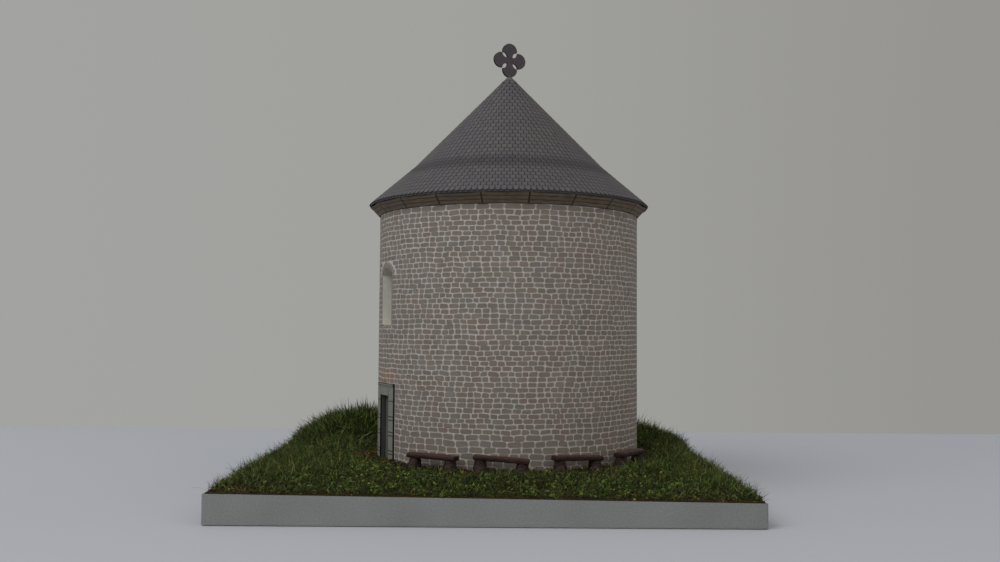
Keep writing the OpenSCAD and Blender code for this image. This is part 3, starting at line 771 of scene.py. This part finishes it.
def scatter_tree():
    """Scatters a shape over the upward faces of the turf, thinner where a slow noise is low."""
    tree, given = group(
        "scattered_over_turf", Shape=("NodeSocketObject", None), Finish=("NodeSocketMaterial", None),
        Per_square_metre=("NodeSocketFloat", 1e6), Patch_size=("NodeSocketFloat", 12 * MM),
        Bareness=("NodeSocketFloat", 0.0), Bare_border=("NodeSocketFloat", 0.0),
        Shortest=("NodeSocketFloat", 3 * MM), Longest=("NodeSocketFloat", 6 * MM),
        Ring_cover=("NodeSocketFloat", 1.0), Mound_growth=("NodeSocketFloat", 1.0),
        Lift=("NodeSocketFloat", 0.0),
        Girth=("NodeSocketFloat", 1.0), Lean=("NodeSocketFloat", 0.5), Seed=("NodeSocketInt", 1))
    up = add(tree, "ShaderNodeSeparateXYZ", {
        0: add(tree, "GeometryNodeInputNormal").outputs[0]}).outputs["Z"]
    spot = add(tree, "GeometryNodeInputPosition").outputs[0]
    axes = add(tree, "ShaderNodeSeparateXYZ", {0: spot}).outputs
    slow = add(tree, "ShaderNodeTexNoise", {
        "Vector": spot, "Scale": sums(tree, "DIVIDE", 1.0, given["Patch size"]), "Detail": 2.0}).outputs["Fac"]
    cover = add(tree, "ShaderNodeMapRange", {
        "Value": slow, "From Min": 0.42, "From Max": 0.54,
        "To Min": sums(tree, "SUBTRACT", 1.0, given["Bareness"]), "To Max": 1.0}).outputs[0]
    inside = sums(tree, "SUBTRACT", HALF_BASE, sums(tree, "MAXIMUM", sums(
        tree, "ABSOLUTE", axes["X"]), sums(tree, "ABSOLUTE", axes["Y"])))
    rim = add(tree, "ShaderNodeMapRange", {
        "Value": inside, "From Min": 0.0, "From Max": 6 * MM,
        "To Min": sums(tree, "SUBTRACT", 1.0, given["Bare border"]), "To Max": 1.0}).outputs[0]
    off_wall = sums(tree, "SUBTRACT", add(tree, "ShaderNodeVectorMath", {
        0: spot, 1: add(tree, "ShaderNodeCombineXYZ", {"X": TOWER_X, "Z": axes["Z"]}).outputs[0]},
        operation="DISTANCE").outputs["Value"], WALL_R)
    off_ring = add(tree, "ShaderNodeMapRange", {
        "Value": off_wall, "From Min": RING_W, "From Max": RING_W + 5 * MM, "To Min": 0.0, "To Max": 1.0}).outputs[0]
    ring = add(tree, "ShaderNodeMapRange", {
        "Value": off_ring, "To Min": given["Ring cover"], "To Max": 1.0}).outputs[0]
    corner = add(tree, "ShaderNodeVectorMath", {0: spot, 1: (-HALF_BASE, -HALF_BASE, GROUND_Z)},
                 operation="DISTANCE").outputs["Value"]
    worn = add(tree, "ShaderNodeMapRange", {
        "Value": corner, "From Min": 8 * MM, "From Max": 34 * MM,
        "To Min": sums(tree, "SUBTRACT", 1.0, given["Bare border"]), "To Max": 1.0}).outputs[0]
    cover = sums(tree, "MULTIPLY", sums(tree, "MULTIPLY", cover, worn), sums(tree, "MULTIPLY", rim, ring))
    density = sums(tree, "MULTIPLY", given["Per square metre"], cover)
    spread = add(tree, "GeometryNodeDistributePointsOnFaces", {
        "Mesh": given["Geometry"], "Selection": sums(tree, "GREATER_THAN", up, 0.3),
        "Density": density, "Seed": given["Seed"]}).outputs["Points"]
    raised = add(tree, "FunctionNodeRandomValue", {
        2: 0.0, 3: given["Lift"], "Seed": sums(tree, "ADD", given["Seed"], 5.0)}, data_type="FLOAT").outputs[1]
    spread = add(tree, "GeometryNodeSetPosition", {"Geometry": spread, "Offset": add(
        tree, "ShaderNodeCombineXYZ", {"Z": raised}).outputs[0]}).outputs[0]
    shape = add(tree, "GeometryNodeObjectInfo", {"Object": given["Shape"]}).outputs["Geometry"]
    lean = given["Lean"]
    turn = add(tree, "FunctionNodeRandomValue", {
        "Min": (0, 0, 0), "Max": (0, 0, TURN), "Seed": given["Seed"]}, data_type="FLOAT_VECTOR")
    tilt = add(tree, "FunctionNodeRandomValue", {
        2: sums(tree, "MULTIPLY", lean, -1.0), 3: lean, "Seed": sums(tree, "ADD", given["Seed"], 11.0)},
        data_type="FLOAT").outputs[1]
    tilt_y = add(tree, "FunctionNodeRandomValue", {
        2: sums(tree, "MULTIPLY", lean, -1.0), 3: lean, "Seed": sums(tree, "ADD", given["Seed"], 17.0)},
        data_type="FLOAT").outputs[1]
    turn = add(tree, "ShaderNodeVectorMath", {0: turn.outputs[0], 1: add(
        tree, "ShaderNodeCombineXYZ", {"X": tilt, "Y": tilt_y}).outputs[0]}, operation="ADD").outputs[0]
    length = add(tree, "FunctionNodeRandomValue", {
        2: given["Shortest"], 3: given["Longest"], "Seed": sums(tree, "ADD", given["Seed"], 23.0)},
        data_type="FLOAT").outputs[1]
    length = sums(tree, "MULTIPLY", length, sums(tree, "MULTIPLY_ADD", slow, 0.8, 0.6))
    length = sums(tree, "MULTIPLY", length, sums(tree, "MULTIPLY_ADD", off_ring, 0.5, 0.5))
    taller = add(tree, "ShaderNodeMapRange", {
        "Value": axes["Z"], "From Min": GROUND_Z + 1 * MM, "From Max": GROUND_Z + 6 * MM,
        "To Min": 1.0, "To Max": given["Mound growth"]}).outputs[0]
    length = sums(tree, "MULTIPLY", length, taller)
    wide = sums(tree, "MULTIPLY", length, given["Girth"])
    scale = add(tree, "ShaderNodeCombineXYZ", {"X": wide, "Y": length, "Z": length}).outputs[0]
    laid = add(tree, "GeometryNodeInstanceOnPoints", {
        "Points": spread, "Instance": shape, "Rotation": turn, "Scale": scale}).outputs[0]
    tint = add(tree, "FunctionNodeRandomValue", {
        2: 0.0, 3: 1.0, "Seed": sums(tree, "ADD", given["Seed"], 31.0)}, data_type="FLOAT").outputs[1]
    laid = add(tree, "GeometryNodeStoreNamedAttribute", {"Geometry": laid, "Name": "tint", "Value": tint},
               data_type="FLOAT", domain="INSTANCE").outputs[0]
    return give(tree, laid, given["Finish"])


SIDES = ("front", "right", "back", "left")
HABITS = {                              # how long, how bent and how dense the fibres are on each side
    "front": (0.66, 1.12, 1.25), "right": (0.97, 0.88, 1.05), "back": (1.1, 0.75, 0.9), "left": (0.95, 0.88, 1.1)}
MOSS = fibre("moss_flock", [(0.0, "#1c2a0d"), (0.5, "#34481a"), (1.0, "#5c7430")])
FLECK = fibre("yellow_green_leaf_fleck", [(0.0, "#3f5018"), (0.5, "#66742a"), (1.0, "#93983f")])


def turf_seed(side):
    """A copy of one side of the turf, for scattering on."""
    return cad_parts["ground_" + side].data.copy()


def build_turf():
    tree = scatter_tree()
    shapes = {"blade": blade("fibre_shape", 0.35, 0.07), "crumb": crumb("crumb_shape")}
    layers = (  # name, shape, finish, per mm2, bare, border, ring, growth, short, long, girth, lean, lift, seed
        ("grass", "blade", GRASS, 5.9, 0.85, 0.8, 0.06, 2.4, 1.8, 4.6, 0.62, 1.2, 0.6, 1),
        ("tuft", "blade", GRASS, 0.9, 1.0, 0.6, 0.1, 2.0, 3.6, 7.0, 0.42, 1.15, 0.6, 5),
        ("straw", "blade", STRAW, 0.4, 0.3, 0.2, 0.3, 2.0, 3.2, 7.0, 0.36, 1.35, 1.5, 2),
        ("fleck", "crumb", FLECK, 0.2, 0.4, 0.5, 0.5, 1.0, 0.35, 0.75, 0.8, 3.0, 2.4, 4),
        ("moss", "crumb", MOSS, 0.42, 1.0, 0.9, 0.2, 1.0, 0.5, 1.2, 1.0, 3.0, 1.8, 6),
        ("litter", "crumb", LITTER, 0.7, 0.0, 0.0, 1.8, 1.0, 0.3, 0.85, 0.8, 3.0, 1.0, 3))
    for name, shape, finish, per_mm2, bare, border, ring, growth, short, long, girth, lean, lift, seed in layers:
        for i, side in enumerate(SIDES):
            tall, bent, dense = HABITS[side] if shape == "blade" else (1.0, 1.0, 0.5 if side == "front" else 0.8)
            mesh = grow(f"{name}_{side}", turf_seed(side), tree, {
                "Shape": shapes[shape], "Finish": finish, "Per square metre": per_mm2 * 1e6 * dense,
                "Bareness": bare, "Bare border": border, "Ring cover": ring, "Mound growth": growth,
                "Lift": lift * tall * MM, "Shortest": short * tall * MM, "Longest": long * tall * MM,
                "Girth": girth, "Lean": lean * bent, "Seed": 10 * seed + i})
            put(f"{name}_{side}", mesh, "turf")
    for shape in shapes.values():
        bpy.data.objects.remove(shape)


def build_threshold():
    """Bark crumbs and twigs swept up against the foot of the doorway and under the benches."""
    rng = random.Random(9)
    points, size, turn, tint = [], [], [], []
    for i in range(620):
        at_door = i < 300
        bearing = BAY + rng.uniform(-0.3, 0.5) if at_door else rng.uniform(-0.75, 1.1)
        reach = rng.uniform(0.8, 9.0) * MM
        out = WALL_R + reach
        twig = i % 14 == 0
        points.append((TOWER_X + out * math.sin(bearing), -out * math.cos(bearing),
                       GROUND_Z + rng.uniform(0.0, 1.9 if at_door and reach > 3 * MM else 0.6) * MM))
        size.append((rng.uniform(2.0, 4.0) * MM, 0.3 * MM, 0.4 * MM) if twig
                    else [rng.uniform(0.4, 1.1) * MM for _ in range(3)])
        turn.append((rng.uniform(-0.2, 0.2), rng.uniform(-0.2, 0.2), rng.uniform(0, TURN)))
        tint.append(rng.uniform(0.1, 0.65))
    points.append((-57 * MM, -14 * MM, GROUND_Z + 1.6 * MM))         # one long twig beside the door
    size.append((8 * MM, 0.7 * MM, 0.8 * MM))
    turn.append((0, 0.1, -0.35))
    tint.append(0.55)
    layout = mesh_from("bark_layout", points, [], size=size, turn=turn, tint=tint)
    shape = crumb("bark_shape")
    put("threshold_bark", grow("threshold_bark", layout, laying_tree(), {"Plate": shape, "Finish": LITTER}), "turf")
    bpy.data.objects.remove(shape)


# ---------- benches ----------

def rough_log(node, name, cell, knots, slot, flare=0.0):
    """A log cut from a CAD piece: a copy with an uneven, softened skin, wider at the foot by the flare."""
    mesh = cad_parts[node].data.copy()
    log = bpy.data.objects.new(name + "_blank", mesh)
    bpy.context.collection.objects.link(log)
    weld = log.modifiers.new("weld", "WELD")
    weld.merge_threshold = 0.005 * MM
    remesh = log.modifiers.new("remesh", "REMESH")
    remesh.mode, remesh.voxel_size, remesh.use_smooth_shade = "VOXEL", cell, True
    soften = log.modifiers.new("soften", "SMOOTH")
    soften.iterations, soften.factor = 2, 0.5
    graph = bpy.context.evaluated_depsgraph_get()
    skin = bpy.data.meshes.new_from_object(log.evaluated_get(graph))
    bpy.data.objects.remove(log)
    if flare:
        foot, top = min(v.co.z for v in skin.vertices), max(v.co.z for v in skin.vertices)
        centre = middle(node)
        for v in skin.vertices:
            wider = 1 + flare * ((top - v.co.z) / (top - foot)) ** 1.5
            v.co.x, v.co.y = (centre.x + (v.co.x - centre.x) * wider, centre.y + (v.co.y - centre.y) * wider)
    for v in skin.vertices:
        wave = noise.noise(v.co / (3.1 * MM)) + 0.5 * noise.noise(v.co / (0.9 * MM))
        v.co += v.normal * wave * knots
    skin.materials.clear()
    skin.materials.append(SEAT if slot == "seat_wood" else STUMP)
    return put(name, skin, slot, node)


def build_benches():
    for i in range(1, 5):
        rough_log(f"bench_{i}_seat", f"bench_{i}_split_log", 0.3 * MM, 0.16 * MM, "seat_wood")
        for side in ("left", "right"):
            rough_log(f"bench_{i}_stump_{side}", f"bench_{i}_log_{side}", 0.3 * MM, 0.34 * MM, "stump_wood", 0.45)


# ---------- stage ----------

def build_stage():
    floor_mesh = bpy.data.meshes.new("floor")
    far, edge = 6.0, 0.247                  # the sheet ends a little way behind the model
    floor_mesh.from_pydata([(-far, -far, 0), (far, -far, 0), (far, edge, 0), (-far, edge, 0)], [], [(0, 1, 2, 3)])
    floor = bpy.data.objects.new("floor", floor_mesh)
    bpy.context.collection.objects.link(floor)
    material, tree, shader = start("pale_table", 0.9, 0.1)
    finish_with(tree, shader, ramp(tree, grain(tree, place(tree), 0.4), [(0.3, "#bfc2c8"), (0.7, "#c4c6cb")]))
    floor_mesh.materials.append(material)
    world = bpy.data.worlds.new("studio")
    bpy.context.scene.world = world
    world.use_nodes = True
    tree = world.node_tree
    tree.nodes.clear()
    rays = add(tree, "ShaderNodeLightPath").outputs
    seen = sums(tree, "MAXIMUM", rays["Is Camera Ray"], rays["Is Glossy Ray"])
    soft = add(tree, "ShaderNodeBackground", {"Color": linear("#f2f4f8"), "Strength": 0.47}).outputs[0]
    # Painted shade: the backdrop that the camera sees grows a little darker and warmer towards the right.
    aside = add(tree, "ShaderNodeSeparateXYZ", {0: add(tree, "ShaderNodeTexCoord").outputs["Generated"]})
    shade = ramp(tree, sums(tree, "MULTIPLY_ADD", aside.outputs["X"], 0.5, 0.5), [
        (0.3, "#a3a3a1"), (0.5, "#a0a09c"), (0.7, "#969591")])
    wall = add(tree, "ShaderNodeBackground", {"Color": shade, "Strength": 1.0}).outputs[0]
    mixed = add(tree, "ShaderNodeMixShader", {0: seen, 1: soft, 2: wall}).outputs[0]
    add(tree, "ShaderNodeOutputWorld", {"Surface": mixed})
    for name, at, size, watts, tint in (
            ("key", (-0.95, -0.95, 1.3), 1.2, 12.5, (1, 1, 1)),
            ("fill", (1.0, -0.9, 0.8), 1.2, 2.6, (1, 0.8, 0.66))):
        light = bpy.data.lights.new(name, "AREA")
        light.size, light.energy, light.color = size, watts, tint
        lamp = bpy.data.objects.new(name, light)
        lamp.location = at
        lamp.rotation_euler = (Vector((0, 0, 0.08)) - Vector(at)).to_track_quat("-Z", "Y").to_euler()
        bpy.context.collection.objects.link(lamp)
    bpy.context.scene.view_settings.view_transform = "Standard"


def build_camera():
    data = bpy.data.cameras.new("camera")
    data.lens, data.sensor_width = 36.24, 36.0
    data.clip_start, data.clip_end = 0.01, 50
    camera = bpy.data.objects.new("camera", data)
    bpy.context.collection.objects.link(camera)
    aim = Matrix.Rotation(math.radians(90 + 2.884), 4, "X") @ Matrix.Rotation(math.radians(0.39), 4, "Z")
    camera.matrix_world = Matrix.Translation((4.8 * MM, -458 * MM, 69 * MM)) @ aim
    bpy.context.scene.camera = camera


finish_nodes()
build_camera()
build_stage()
build_stones()
build_slates()
build_turf()
build_threshold()
build_benches()
